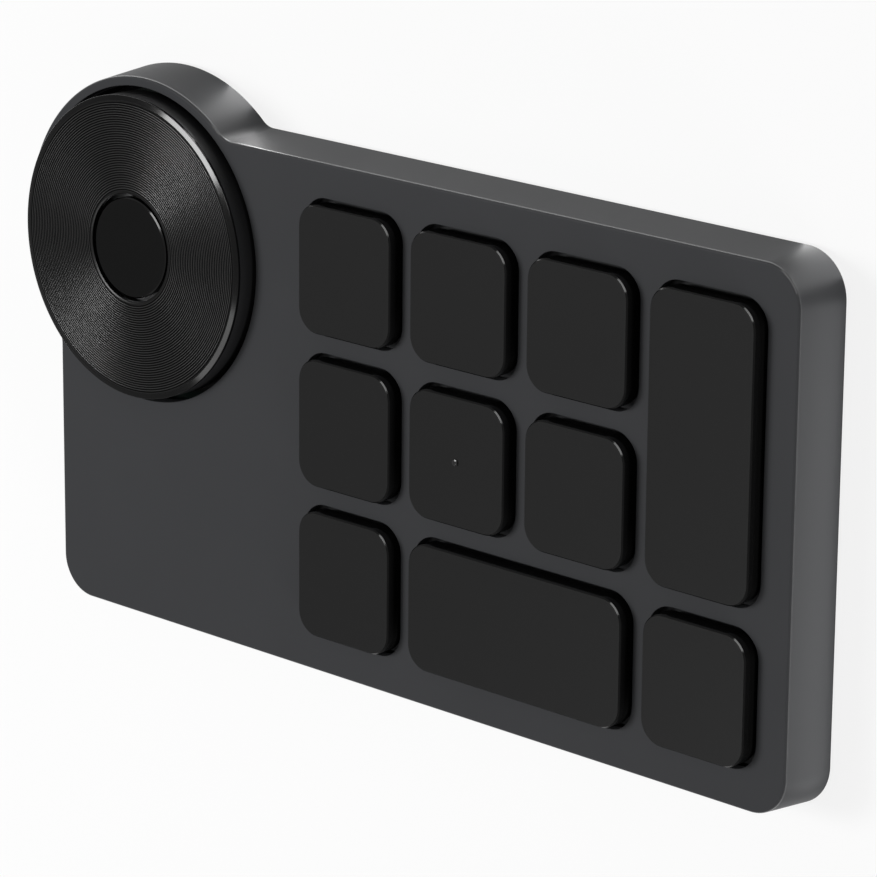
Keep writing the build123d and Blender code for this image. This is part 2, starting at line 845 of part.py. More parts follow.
def power_slider():
    """Knob through the wall's slot, a shutter behind the wall and a drive in the switch."""
    y = slab_front + slider_reach
    outer = wall_x(switch_z) - knob_proud
    shutter_x = wall_x(board_top) + wall + room - slide_fit
    drive_x = shutter_x + shutter_thickness
    knob = extrude(side_plane(outer, y, switch_z) * Rectangle(knob_width, knob_height), shutter_x - outer)
    shutter = extrude(side_plane(shutter_x, y, switch_z) * Rectangle(shutter_width, shutter_height),
                      shutter_thickness)
    drive = extrude(side_plane(drive_x, y, switch_z) * Rectangle(drive_width, knob_height), drive_depth)
    return knob + shutter + drive


def screws(places, *sizes):
    """Group of like screws."""
    return Compound([screw(x, y, *sizes) for x, y in places])


def build():
    """Every piece by its name."""
    pieces = {"top_cover": top_cover(), "bottom_cover": bottom_cover()}
    pieces.update(feet())
    pieces["case_screws"] = screws(
        case_bosses, foot_top + case_head_height + seat_fit, case_head_radius, case_head_height,
        case_screw_radius, case_screw_length, False)
    pieces["main_board"] = main_board()
    pieces["board_screws"] = screws(
        board_screw_places, board_top, board_head_radius, board_head_height,
        board_screw_radius, board_screw_length, True)
    pieces["battery"] = battery()
    pieces["battery_tabs"] = battery_tabs()
    pieces["radio_module"] = radio_module()
    pieces["port_shell"], pieces["port_tongue"] = charging_port()
    pieces["power_switch"] = power_switch()
    pieces["power_slider"] = power_slider()
    pieces["key_frame"] = key_frame()
    pieces["frame_screws"] = screws(
        frame_screw_places, frame_under, frame_head_radius, frame_head_height,
        frame_screw_radius, frame_screw_length + frame_thickness, False)
    for number in keys:
        pieces[f"key_cap_{number}"] = key_cap(number)
        pieces[f"key_dome_{number}"] = key_dome(number)
    pieces["dial_disc"] = dial_disc()
    pieces["dial_wheel"] = dial_wheel()
    pieces["encoder_ring"] = encoder_ring()
    pieces["encoder_sensor"] = encoder_sensor()
    pieces["dial_base"] = dial_base()
    pieces["dial_screws"] = screws(
        dial_screw_places, base_top - dial_head_height, dial_head_radius, dial_head_height,
        dial_screw_radius, dial_screw_length, True)
    pieces["dial_bush"] = dial_bush()
    pieces["retaining_ring"] = retaining_ring()
    pieces["detent_spring"] = detent_spring()
    pieces["centre_button"] = centre_button()
    pieces["centre_switch"] = centre_switch()
    pieces["switch_plunger"] = switch_plunger()
    return pieces


os.makedirs("parts", exist_ok=True)
for name, piece in build().items():
    export_step(piece, f"parts/{name}.step")
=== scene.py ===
import math

import bmesh
import bpy
from mathutils import Matrix, Vector


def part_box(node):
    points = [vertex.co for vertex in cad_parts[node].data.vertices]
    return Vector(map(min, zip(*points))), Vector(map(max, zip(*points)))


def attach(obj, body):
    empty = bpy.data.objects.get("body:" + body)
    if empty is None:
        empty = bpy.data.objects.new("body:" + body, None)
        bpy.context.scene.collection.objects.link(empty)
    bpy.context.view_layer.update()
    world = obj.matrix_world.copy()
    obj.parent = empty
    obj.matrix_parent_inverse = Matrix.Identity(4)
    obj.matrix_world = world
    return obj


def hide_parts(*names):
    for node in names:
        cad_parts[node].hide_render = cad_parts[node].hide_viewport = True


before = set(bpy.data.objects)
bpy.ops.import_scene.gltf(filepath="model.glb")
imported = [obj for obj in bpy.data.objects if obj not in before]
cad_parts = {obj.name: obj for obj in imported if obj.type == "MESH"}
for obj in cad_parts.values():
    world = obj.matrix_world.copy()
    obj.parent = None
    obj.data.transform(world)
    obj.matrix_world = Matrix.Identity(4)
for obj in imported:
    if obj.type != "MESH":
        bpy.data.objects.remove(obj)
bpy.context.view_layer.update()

bl_info = {
    "name": "Shortcut Remote",
    "version": (1, 0, 0),
    "blender": (4, 5, 0),
    "location": "3D View > Sidebar > Remote",
    "description": "Dresses the packed remote: case, keys, dial, button, finishes and stage",
    "category": "Object",
}

MM = 0.001
KEY_COUNT = 10
UPRIGHT = Vector((0.0, 0.0, 1.0))
QUARTER_TURN = math.pi / 2

# Modelling
SAME_PLACE = 0.002 * MM         # points nearer than this are one
NEARLY_ROUND = 0.99             # share of a full round, so that two rounds don't quite meet
SIDE_NORMAL = 0.9               # least share along X of a side wall's normal
CORNER_STEPS = 18               # segments of the case's corners and fillets
LOBE_STEPS = 120                # of the dial's lobe
BEVEL_STEPS = 6                 # of the bevel round the face
LIP_STEPS = 4                   # of the upper edge of an opening
SMALL_CORNER_STEPS = 10         # of the corners of keys, openings and posts
RING_STEPS = 160                # of the well and the button
DOT_STEPS = 40                  # of the home key's dot
DISC_STEPS = 288                # of the turned disc
EASE_STEPS = 2                  # of the disc's eased edges
DOT_PROFILE = ((0.14, 0.73), (0.66, 0.225), (0.2, 0.045))   # shares of its slope and height
GROOVE_PROFILE = (0.0, 0.5, 1.0, 0.5)                       # shares of a groove's depth

# Smooth and sharp edges
EASY_TURN = math.radians(4)     # an edge that turns less is smooth
CREASE = math.radians(40)       # an edge that turns more is sharp
DISC_CREASE = math.radians(80)  # the same on the disc, whose grooves are soft
LEVEL_NORMAL = 0.9999           # least upright share of a level face's normal
BROAD_FACE = 4                  # a face so many times larger than the next stays flat

# Finishes
FINE_DETAIL = 3.0               # noise detail of a moulded grain
TOP_DEPTH = 0.012 * MM          # a matte top starts this far below its own level
TOP_BLUR = 0.016 * MM           # and comes in over this height
BEVEL_END = 0.03 * MM           # the case's polish ends this far below the face
BEVEL_BLUR = 0.04 * MM          # the polish comes in over this height
BEVEL_END_BLUR = 0.02 * MM      # and goes out over this one
DOT_BLUR = 0.02 * MM            # the dot's polish comes in over this height
POLISHED = 0.14                 # roughness of a moulding's polished sides
SATIN_RISE = 0.16               # how much rougher its satin top is
GRAIN_RISE = 0.06               # and how much rougher still in its grain
TURNED = 0.275                  # roughness of the disc; any smoother, and a denoised
                                # render loses the grooves
RIM_POLISH = 0.16               # how much smoother the disc's rim is
PLAIN_SHARE = 0.3               # ridge colour on the disc's plain bands
RIM_SHARE = 0.08                # and how much more of it on the rim
RIDGE_EDGE = (0.12, 0.22)       # pitches from a ridge's middle where it fades to the groove's painted shade
MIX_FIRST, MIX_SECOND, MIX_RESULT = 6, 7, 2     # colour sockets of a Mix node

# Stage
FILM_WIDTH = 36.0               # millimetres
NEAR_CLIP = 0.01
FLOOR_REACH = 3.0
FLOOR_DROP = 0.02 * MM          # the floor lies this far below the feet
FLOOR_GLOW = 0.85               # share of its own light in a floor that is seen
CARD_HEIGHT = 0.3 * MM
WHITE = (1.0, 1.0, 1.0, 1.0)


def length(name, description, millimetres):
    """A length setting, written in millimetres and kept in metres."""
    return bpy.props.FloatProperty(
        name=name, description=description, default=millimetres * MM,
        min=0.0, precision=5, subtype="DISTANCE", unit="LENGTH")


def angle(name, description, degrees):
    """An angle setting, written in degrees."""
    return bpy.props.FloatProperty(
        name=name, description=description, default=math.radians(degrees),
        subtype="ANGLE", unit="ROTATION")


def colour(name, description, value):
    """A colour setting."""
    return bpy.props.FloatVectorProperty(
        name=name, description=description, default=value,
        size=3, min=0.0, max=1.0, subtype="COLOR")


def power(name, description, watts):
    """A lamp's power setting."""
    return bpy.props.FloatProperty(
        name=name, description=description, default=watts, min=0.0, unit="POWER")


class CaseSettings(bpy.types.PropertyGroup):
    """Sizes and colour of the case."""
    lobe_overhang: length(
        "Lobe overhang", "How far the dial's lobe stands out past the slab", 6.35)
    corner_radius: length("Corner radius", "Round of the corners at the lower edge", 6.25)
    lobe_fillet: length("Lobe fillet", "Hollow round where the lobe meets the slab", 3.1)
    wall_lean: length("Wall lean", "How far the walls lean in from lower edge to shoulder", 0.68)
    edge_bevel: length("Edge bevel", "Bevel between the walls and the face", 0.37)
    wall: length("Wall", "Thickness of the side walls", 1.6)
    face_thickness: length("Face thickness", "Thickness of the face plate", 1.5)
    lip: length("Lip", "Round on the upper edge of each opening", 0.08)
    key_gap: length("Key gap", "Gap between a key and its opening", 0.62)
    well_gap: length("Well gap", "Gap between the dial and its well", 0.92)
    well_wall: length("Well wall", "Thickness of the well's wall", 1.2)
    well_depth: length("Well depth", "Depth of the well's wall below the face", 2.35)
    port_gap: length("Port gap", "Gap between the port's shell and the wall", 0.1)
    slider_travel: length("Slider travel", "How far the power slider goes", 2.0)
    slider_slot_length: length("Slider slot length", "Length of the power slider's slot", 4.7)
    slider_slot_height: length("Slider slot height", "Height of the power slider's slot", 1.9)
    slider_slot_corner: length(
        "Slider slot corner", "Round of the corners of the power slider's slot", 0.3)
    colour: colour("Case colour", "Dark grey of the moulded case", (0.044, 0.045, 0.048))


class KeySettings(bpy.types.PropertyGroup):
    """Sizes and colour of the keys."""
    corner_radius: length("Corner radius", "Round of a key's corners", 3.3)
    edge_bevel: length("Edge bevel", "Polished bevel between a key's sides and its top", 0.18)
    wall: length("Wall", "Thickness of a key's sides", 1.0)
    skin: length("Skin", "Thickness of a key's top", 1.2)
    skirt: length("Skirt", "Height of a key's sides", 2.56)
    stem: length("Stem", "Width of a key's stem", 5.0)
    stem_corner: length("Stem corner", "Round of a stem's corners", 0.8)
    guide_radius: length("Guide radius", "Radius of the guide pins under the long keys", 1.2)
    hook_length: length("Hook length", "Length of the hooks under a stem", 6.0)
    hook_width: length("Hook width", "Width of the hooks under a stem", 2.4)
    hook_height: length("Hook height", "Height of the hooks under a stem", 0.4)
    hook_corner: length("Hook corner", "Round of a hook's corners", 0.1)
    dot_radius: length("Dot radius", "Foot radius of the raised dot on the home key", 0.5)
    dot_top: length("Dot top", "Top radius of the raised dot on the home key", 0.25)
    dot_height: length("Dot height", "Height of the raised dot on the home key", 0.22)
    dot_root: length("Dot root", "Depth of the raised dot's root in the home key", 0.1)
    colour: colour("Key colour", "Near black of the key tops", (0.010, 0.010, 0.010))


class DialSettings(bpy.types.PropertyGroup):
    """Sizes and colours of the dial and its centre button."""
    rim_run: length("Rim run", "Width of the polished bevel at the rim", 0.74)
    rim_drop: length("Rim drop", "Height of the polished bevel at the rim", 0.22)
    edge_round: length("Edge round", "Round on the dial's turned edges", 0.05)
    hole_gap: length("Hole gap", "Gap between the dial and its button", 0.55)
    lip_run: length("Lip run", "Width of the polished bevel at the hole", 0.28)
    lip_drop: length("Lip drop", "Height of the polished bevel at the hole", 0.083)
    groove_start: length(
        "Groove start", "Plain band between the rim's bevel and the first groove", 0.15)
    groove_pitch: length("Groove pitch", "From one turned groove to the next", 0.339)
    groove_depth: length("Groove depth", "Depth of the turned grooves", 0.12)
    groove_count: bpy.props.IntProperty(
        name="Grooves", description="How many turned grooves the disc has", default=37, min=1)
    ridge_colour: colour(
        "Ridge colour", "Bright metal of the ridges between the grooves", (0.118, 0.118, 0.118))
    # Partly the dark anodised metal, partly painted shade down in the grooves.
    groove_shade_colour: colour(
        "Groove colour", "Dark metal down in the grooves", (0.008, 0.008, 0.008))
    button_bevel: length("Button bevel", "Polished bevel on the button's edge", 0.18)
    button_skirt: length("Button skirt", "Height of the button's edge", 1.08)
    button_stem: length("Button stem", "Radius of the button's stem", 5.15)
    button_colour: colour("Button colour", "Near black of the button", (0.0015, 0.0015, 0.0015))


class StageSettings(bpy.types.PropertyGroup):
    """Camera, lamps and floor."""
    aim: bpy.props.FloatVectorProperty(
        name="Aim", description="Point that the camera looks at", size=3, subtype="TRANSLATION",
        unit="LENGTH", default=(10.25 * MM, -1.06 * MM, 9.28 * MM))
    azimuth: angle("Azimuth", "Camera's turn about the upright", 113.18)
    elevation: angle("Elevation", "Camera's height above the horizon", 44.42)
    roll: angle("Roll", "Camera's turn about its own axis", -106.18)
    distance: length("Distance", "From the camera to the point that it looks at", 593.36)
    lens: bpy.props.FloatProperty(
        name="Lens", description="Focal length on a 36 mm film", default=183.77,
        subtype="DISTANCE_CAMERA")
    floor_colour: colour("Floor colour", "Pale floor", (0.9, 0.9, 0.9))
    overhead_power: power("Overhead power", "Lamp overhead, a little to the left", 1.7)
    front_power: power("Front power", "Weak strip lamp in front, to the left", 0.5)
    left_power: power("Left power", "Main lamp on the left", 5.6)
    right_power: power("Right power", "Low lamp on the right", 2.8)
    rear_power: power("Rear power", "Wide strip lamp behind, to the right, for glints", 3.4)
    fill: bpy.props.FloatProperty(
        name="Fill", description="Level of the even light from all round", default=0.2, min=0.0)


class Wire:
    """A shader socket that takes part in Python sums, each of which adds a Math node."""

    def __init__(self, tree, socket):
        self.tree = tree
        self.socket = socket

    def node(self, kind, settings, sockets, out=0):
        """Adds a node, makes its settings, fills or links its sockets and gives one output."""
        made = self.tree.nodes.new(kind)
        for name, value in settings.items():
            setattr(made, name, value)
        for name, value in sockets.items():
            if isinstance(value, Wire):
                self.tree.links.new(value.socket, made.inputs[name])
            else:
                made.inputs[name].default_value = value
        return Wire(self.tree, made.outputs[out]) if made.outputs else None

    def maths(self, operation, first, second):
        """Adds a Math node of two wires or numbers."""
        return self.node("ShaderNodeMath", {"operation": operation}, {0: first, 1: second})

    def __add__(self, other):
        return self.maths("ADD", self, other)

    __radd__ = __add__

    def __sub__(self, other):
        return self.maths("SUBTRACT", self, other)

    def __rsub__(self, other):
        return self.maths("SUBTRACT", other, self)

    def __mul__(self, other):
        return self.maths("MULTIPLY", self, other)

    __rmul__ = __mul__


def new_finish(name):
    """Starts a material and gives it with the wire of its object coordinates."""
    material = bpy.data.materials.new(name)
    material.use_nodes = True
    material.node_tree.nodes.clear()
    blank = Wire(material.node_tree, None)
    return material, blank.node("ShaderNodeTexCoord", {}, {}, out="Object")


def speckle(place, size, detail=2.0):
    """Noise whose blotches are about so large."""
    return place.node(
        "ShaderNodeTexNoise", {}, {"Vector": place, "Scale": 1.0 / size, "Detail": detail})


def tint(place, share, first, second):
    """A colour between two by a share."""
    return place.node(
        "ShaderNodeMix", {"data_type": "RGBA"},
        {"Factor": share, MIX_FIRST: (*first, 1.0), MIX_SECOND: (*second, 1.0)}, out=MIX_RESULT)


def bumps(place, height, depth):
    """A normal raised by a height map."""
    return place.node("ShaderNodeBump", {}, {"Height": height, "Distance": depth})


def principled(place, **sockets):
    """A principled shader, whose sockets are named with _ for a space."""
    named = {name.replace("_", " "): value for name, value in sockets.items()}
    return place.node("ShaderNodeBsdfPrincipled", {}, named)


def end_in(shader):
    """Ends a material in a shader."""
    shader.node("ShaderNodeOutputMaterial", {}, {"Surface": shader})


def ramp(place, value, start, end, first=0.0, last=1.0):
    """A value brought from one range to another and held at its ends."""
    return place.node(
        "ShaderNodeMapRange", {"clamp": True},
        {"Value": value, "From Min": start, "From Max": end, "To Min": first, "To Max": last})


def height_share(place, level, blur):
    """None below a height and one above it."""
    height = place.node("ShaderNodeSeparateXYZ", {}, {"Vector": place}, out="Z")
    return ramp(place, height, level - blur / 2, level + blur / 2)


def top_share(place, name):
    """None on a CAD node's sides and one on its top."""
    return height_share(place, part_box(name)[1].z - TOP_DEPTH, TOP_BLUR)


def shaded(shade, share):
    """A colour made lighter or darker."""
    return tuple(min(1.0, part * share) for part in shade)


def mottled(place, share, shade, spread):
    """A colour that goes a little darker and lighter by a share."""
    return tint(place, share, shaded(shade, 1.0 - spread), shaded(shade, 1.0 + spread))


def middle_of(name):
    """Middle of a CAD node's box."""
    low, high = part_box(name)
    return (low + high) / 2


def radius_of(name):
    """Radius of a round CAD node."""
    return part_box(name)[1].x - middle_of(name).x


def groove_band(dial):
    """Outer and inner radius of the disc's grooves."""
    outer = radius_of("dial_disc") - dial.rim_run - dial.groove_start
    return outer, outer - dial.groove_count * dial.groove_pitch


def case_plastic(scene):
    """Satin moulded plastic with a fine spark grain and a polished bevel round the face."""
    material, place = new_finish("Satin case plastic")
    shade = scene.remote_case.colour
    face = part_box("top_cover")[1].z
    cloud = speckle(place, 12 * MM)
    grain = speckle(place, 0.16 * MM, FINE_DETAIL)
    above = height_share(place, face - scene.remote_case.edge_bevel, BEVEL_BLUR)
    below = 1.0 - height_share(place, face - BEVEL_END, BEVEL_END_BLUR)
    end_in(principled(
        place,
        Base_Color=mottled(place, cloud * 0.6 + grain * 0.4, shade, 0.07),
        Roughness=0.42 + 0.05 * cloud + 0.06 * grain,
        Specular_IOR_Level=0.18,
        Coat_Weight=above * below,
        Coat_Roughness=0.12,
        Normal=bumps(place, grain, 0.006 * MM)))
    return material


def polish_to_satin(top, grain):
    """Roughness of a moulding with polished sides and a satin top."""
    return POLISHED + top * (SATIN_RISE + GRAIN_RISE * grain)


def key_plastic(scene):
    """Matte key tops on glossier sides, with a polished dot."""
    material, place = new_finish("Matte key plastic")
    keys = scene.remote_keys
    top = top_share(place, "key_cap_1")
    dot_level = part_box("key_cap_1")[1].z + keys.dot_height / 2
    dot = height_share(place, dot_level, DOT_BLUR)
    cloud = speckle(place, 9 * MM)
    grain = speckle(place, 0.12 * MM, FINE_DETAIL)
    mottle = top * (0.85 + 0.15 * cloud)
    end_in(principled(
        place,
        Base_Color=tint(place, mottle, shaded(keys.colour, 0.6), keys.colour),
        Roughness=polish_to_satin(top, grain),
        Specular_IOR_Level=0.35,
        Coat_Weight=dot,
        Coat_Roughness=0.1,
        Normal=bumps(place, grain * top, 0.004 * MM)))
    return material


def button_plastic(scene):
    """Soft-touch button with a polished edge."""
    material, place = new_finish("Soft button plastic")
    shade = scene.remote_dial.button_colour
    top = top_share(place, "centre_button")
    cloud = speckle(place, 6 * MM)
    grain = speckle(place, 0.1 * MM, FINE_DETAIL)
    end_in(principled(
        place,
        Base_Color=mottled(place, cloud, shade, 0.1),
        Roughness=polish_to_satin(top, grain),
        Specular_IOR_Level=0.22,
        Coat_Weight=1.0 - top,
        Coat_Roughness=0.1,
        Normal=bumps(place, grain, 0.003 * MM)))
    return material


def dial_metal(scene):
    """Dark anodised metal, turned: bright ridges, painted shade in the grooves, a polished rim."""
    material, place = new_finish("Turned dial metal")
    dial = scene.remote_dial
    middle = middle_of("dial_disc")
    outer, inner = groove_band(dial)
    cloud = speckle(place, 7 * MM)
    grain = speckle(place, 0.08 * MM)
    flat = place.node(
        "ShaderNodeVectorMath", {"operation": "MULTIPLY_ADD"},
        {0: place, 1: (1.0, 1.0, 0.0), 2: (-middle.x, -middle.y, 0.0)})
    radius = place.node("ShaderNodeVectorMath", {"operation": "LENGTH"}, {0: flat}, out="Value")
    rim = place.maths("GREATER_THAN", radius, radius_of("dial_disc") - dial.rim_run)
    within = place.maths("LESS_THAN", radius, outer)
    grooved = within * place.maths("GREATER_THAN", radius, inner)
    # Painted shade: the colour darkens from each ridge's middle down into its groove.
    off_ridge = place.maths("PINGPONG", (outer - radius) * (1.0 / dial.groove_pitch), 0.5)
    ridge = ramp(place, off_ridge, *RIDGE_EDGE, first=1.0, last=0.0)
    plain = PLAIN_SHARE + RIM_SHARE * rim
    bright = grooved * ridge + (1.0 - grooved) * plain + 0.04 * cloud
    end_in(principled(
        place,
        Base_Color=tint(place, bright, dial.groove_shade_colour, dial.ridge_colour),
        Metallic=1.0,
        Roughness=TURNED + 0.012 * grain - RIM_POLISH * rim))
    return material


def plain_plastic(name, shade, roughness, blotch):
    """A moulded inner plastic with faint flow clouds and a fine grain."""
    def make(scene):
        material, place = new_finish(name)
        cloud = speckle(place, blotch)
        grain = speckle(place, 0.2 * MM, FINE_DETAIL)
        end_in(principled(
            place,
            Base_Color=mottled(place, cloud, shade, 0.1),
            Roughness=roughness + 0.08 * grain,
            Normal=bumps(place, grain, 0.005 * MM)))
        return material
    return make


def board_laminate(scene):
    """Solder mask over a faint glass weave."""
    material, place = new_finish("Board laminate")
    weave = place.node(
        "ShaderNodeTexWave", {"wave_type": "BANDS", "bands_direction": "DIAGONAL"},
        {"Vector": place, "Scale": 900.0, "Distortion": 1.0})
    cloud = speckle(place, 5 * MM)
    mottle = 0.5 * weave + 0.5 * cloud
    end_in(principled(
        place,
        Base_Color=tint(place, mottle, (0.003, 0.006, 0.005), (0.006, 0.012, 0.009)),
        Roughness=0.28 + 0.1 * cloud,
        Normal=bumps(place, weave, 0.004 * MM)))
    return material


def cell_foil(scene):
    """Crinkled foil pouch."""
    material, place = new_finish("Cell foil")
    crinkle = place.node(
        "ShaderNodeTexVoronoi", {"feature": "F1"}, {"Vector": place, "Scale": 260.0})
    cloud = speckle(place, 4 * MM)
    end_in(principled(
        place,
        Base_Color=tint(place, cloud, (0.50, 0.51, 0.52), (0.62, 0.63, 0.64)),
        Metallic=0.9,
        Roughness=0.28 + 0.12 * crinkle,
        Normal=bumps(place, crinkle + 0.5 * cloud, 0.05 * MM)))
    return material


def bright_metal(name, shade, roughness, streak):
    """A plated or drawn metal with fine streaks."""
    def make(scene):
        material, place = new_finish(name)
        stretched = place.node("ShaderNodeMapping", {}, {"Vector": place, "Scale": streak})
        streaks = speckle(stretched, 0.3 * MM)
        end_in(principled(
            place,
            Base_Color=tint(place, streaks, shaded(shade, 0.88), shaded(shade, 1.06)),
            Metallic=1.0,
            Roughness=roughness + 0.12 * streaks,
            Normal=bumps(place, streaks, 0.002 * MM)))
        return material
    return make


FINISHES = {
    "case_plastic": case_plastic,
    "key_plastic": key_plastic,
    "button_plastic": button_plastic,
    "dial_metal": dial_metal,
    "rubber": plain_plastic("Foot rubber", (0.018, 0.018, 0.018), 0.72, 3 * MM),
    "silicone": plain_plastic("Dome silicone", (0.52, 0.52, 0.50), 0.5, 2 * MM),
    "wheel_plastic": plain_plastic("Wheel plastic", (0.020, 0.020, 0.021), 0.3, 8 * MM),
    "inner_plastic": plain_plastic("Inner plastic", (0.030, 0.031, 0.033), 0.5, 6 * MM),
    "bush_plastic": plain_plastic("Bush plastic", (0.60, 0.58, 0.53), 0.38, 4 * MM),
    "board": board_laminate,
    "cell_foil": cell_foil,
    "steel": bright_metal("Screw steel", (0.45, 0.45, 0.46), 0.26, (1.0, 8.0, 1.0)),
    "nickel": bright_metal("Port nickel", (0.60, 0.58, 0.55), 0.2, (8.0, 1.0, 1.0)),
}
made_finishes = {}


def finish_for(slot, scene):
    """The material of a slot, made once."""
    if slot not in made_finishes:
        made_finishes[slot] = FINISHES[slot](scene)
    return made_finishes[slot]


def run_to(bm, vert, x, y):
    """Draws a straight run from a vertex to a place at the same height."""
    end = bmesh.ops.extrude_vert_indiv(bm, verts=[vert])["verts"][0]
    end.co = (x, y, vert.co.z)
    return end


def sweep(bm, vert, x, y, turn, steps=CORNER_STEPS):
    """Draws an arc from a vertex about an upright axis."""
    swept = bmesh.ops.spin(
        bm, geom=[vert], cent=(x, y, vert.co.z), axis=UPRIGHT, dvec=(0.0, 0.0, 0.0),
        angle=turn, steps=steps, use_merge=False, use_normal_flip=False, use_duplicate=False)
    return swept["geom_last"][0]


def face_up(face):
    """Turns a flat face to look upward."""
    face.normal_update()
    if face.normal.z < 0:
        face.normal_flip()
    return face


def loose_edges(bm):
    """Edges that bound no face yet."""
    return [edge for edge in bm.edges if not edge.link_faces]


def case_outline(bm, case):
    """The case's lower outline: a slab with round corners and a lobe round the dial."""
    low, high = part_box("top_cover")
    dial = middle_of("dial_disc")
    left = low.x + case.lobe_overhang
    rear = high.y - case.lobe_overhang
    corner = case.corner_radius
    fillet = case.lobe_fillet
    reach = dial.x - low.x + fillet
    rear_fillet = dial.x + math.sqrt(reach ** 2 - (rear + fillet - dial.y) ** 2)
    left_fillet = dial.y - math.sqrt(reach ** 2 - (dial.x - left + fillet) ** 2)
    lobe_start = math.atan2(rear + fillet - dial.y, rear_fillet - dial.x)
    lobe_end = math.atan2(left_fillet - dial.y, left - fillet - dial.x) + math.tau

    end = bm.verts.new((left + corner, low.y, low.z))
    end = run_to(bm, end, high.x - corner, low.y)
    end = sweep(bm, end, high.x - corner, low.y + corner, QUARTER_TURN)
    end = run_to(bm, end, high.x, rear - corner)
    end = sweep(bm, end, high.x - corner, rear - corner, QUARTER_TURN)
    end = run_to(bm, end, rear_fillet, rear)
    end = sweep(bm, end, rear_fillet, rear + fillet, lobe_start - QUARTER_TURN)
    end = sweep(bm, end, dial.x, dial.y, lobe_end - lobe_start, LOBE_STEPS)
    end = sweep(bm, end, left - fillet, left_fillet, math.pi - lobe_end)
    end = run_to(bm, end, left, low.y + corner)
    sweep(bm, end, left + corner, low.y + corner, QUARTER_TURN)
    points = list({vert for edge in loose_edges(bm) for vert in edge.verts})
    bmesh.ops.remove_doubles(bm, verts=points, dist=SAME_PLACE)
    return face_up(bmesh.ops.contextual_create(bm, geom=loose_edges(bm))["faces"][0])


def rounded_face(bm, low, high, radius, height):
    """A flat rectangle with round corners, looking upward."""
    middle = Matrix.Translation(((low.x + high.x) / 2, (low.y + high.y) / 2, height))
    spread = Matrix.Diagonal(((high.x - low.x) / 2, (high.y - low.y) / 2, 1.0, 1.0))
    corners = bmesh.ops.create_grid(
        bm, x_segments=1, y_segments=1, size=1.0, matrix=middle @ spread)["verts"]
    rounded = bmesh.ops.bevel(
        bm, geom=corners, offset=radius, offset_type="OFFSET", segments=SMALL_CORNER_STEPS,
        profile=0.5, affect="VERTICES", material=-1)
    return face_up(rounded["verts"][0].link_faces[0])


def round_face(bm, middle, radius, height, steps=RING_STEPS):
    """A flat disc, looking upward."""
    ring = bmesh.ops.create_circle(
        bm, cap_ends=True, cap_tris=False, segments=steps, radius=radius,
        matrix=Matrix.Translation((middle.x, middle.y, height)))["verts"]
    return face_up(ring[0].link_faces[0])


def carry(bm, face, steps):
    """Carries a face inward and along its normal by (inset, rise) steps, leaving walls behind."""
    for inset, rise in steps:
        if inset:
            bmesh.ops.inset_region(
                bm, faces=[face], thickness=inset, depth=rise,
                use_even_offset=True, use_boundary=True)
        else:
            face.normal_update()
            lift = face.normal * rise
            face = bmesh.ops.extrude_discrete_faces(bm, faces=[face])["faces"][0]
            bmesh.ops.translate(bm, verts=face.verts, vec=lift)
    return face


def open_end(bm, face):
    """Takes a face away and leaves its edges."""
    bmesh.ops.delete(bm, geom=[face], context="FACES_ONLY")


def quarter_round(radius, steps):
    """Steps from a wall over a quarter round onto a flat."""
    turns = [QUARTER_TURN * step / steps for step in range(steps + 1)]
    return [
        (radius * (math.cos(a) - math.cos(b)), radius * (math.sin(b) - math.sin(a)))
        for a, b in zip(turns, turns[1:])]


def sunk_edge(lip, depth):
    """Steps from a flat over a quarter round straight down to a depth."""
    over = [(inset, -rise) for inset, rise in reversed(quarter_round(lip, LIP_STEPS))]
    return over + [(0.0, lip - depth)]


def fill_between(bm, edges, look):
    """Fills between edges with faces that look one way."""
    bmesh.ops.triangle_fill(
        bm, edges=edges, use_beauty=True, use_dissolve=False, normal=look)


def fill_level(bm, height, look):
    """Fills between the open edges at one height."""
    edges = [
        edge for edge in bm.edges
        if edge.is_boundary
        and all(abs(vert.co.z - height) < SAME_PLACE for vert in edge.verts)]
    fill_between(bm, edges, UPRIGHT * look)


def post(bm, low, high, radius):
    """A closed upright post with round corners, from corner to corner."""
    carry(bm, rounded_face(bm, low, high, radius, low.z), [(0.0, high.z - low.z)])
    rounded_face(bm, low, high, radius, low.z).normal_flip()


def keep_flats(bm, crease):
    """Shades the rounds smooth and leaves level and broad faces flat."""
    for face in bm.faces:
        face.smooth = True
    for edge in bm.edges:
        if len(edge.link_faces) == 2:
            turn = edge.calc_face_angle()
            level = any(abs(face.normal.z) > LEVEL_NORMAL for face in edge.link_faces)
            narrow, broad = sorted(face.calc_area() for face in edge.link_faces)
            rounded = turn < crease and not level and broad < BROAD_FACE * narrow
            edge.smooth = turn < EASY_TURN or rounded


def make_piece(bm, name, body, slot, node, scene, crease=CREASE):
    """Makes a bmesh a finished piece that rides on a body and stands for a CAD node."""
    bmesh.ops.remove_doubles(bm, verts=bm.verts, dist=SAME_PLACE)
    bmesh.ops.recalc_face_normals(bm, faces=bm.faces)
    keep_flats(bm, crease)
    mesh = bpy.data.meshes.new(name)
    bm.to_mesh(mesh)
    bm.free()
    mesh.materials.append(finish_for(slot, scene))
    piece = bpy.data.objects.new(name, mesh)
    scene.collection.objects.link(piece)
    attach(piece, body)
    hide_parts(node)


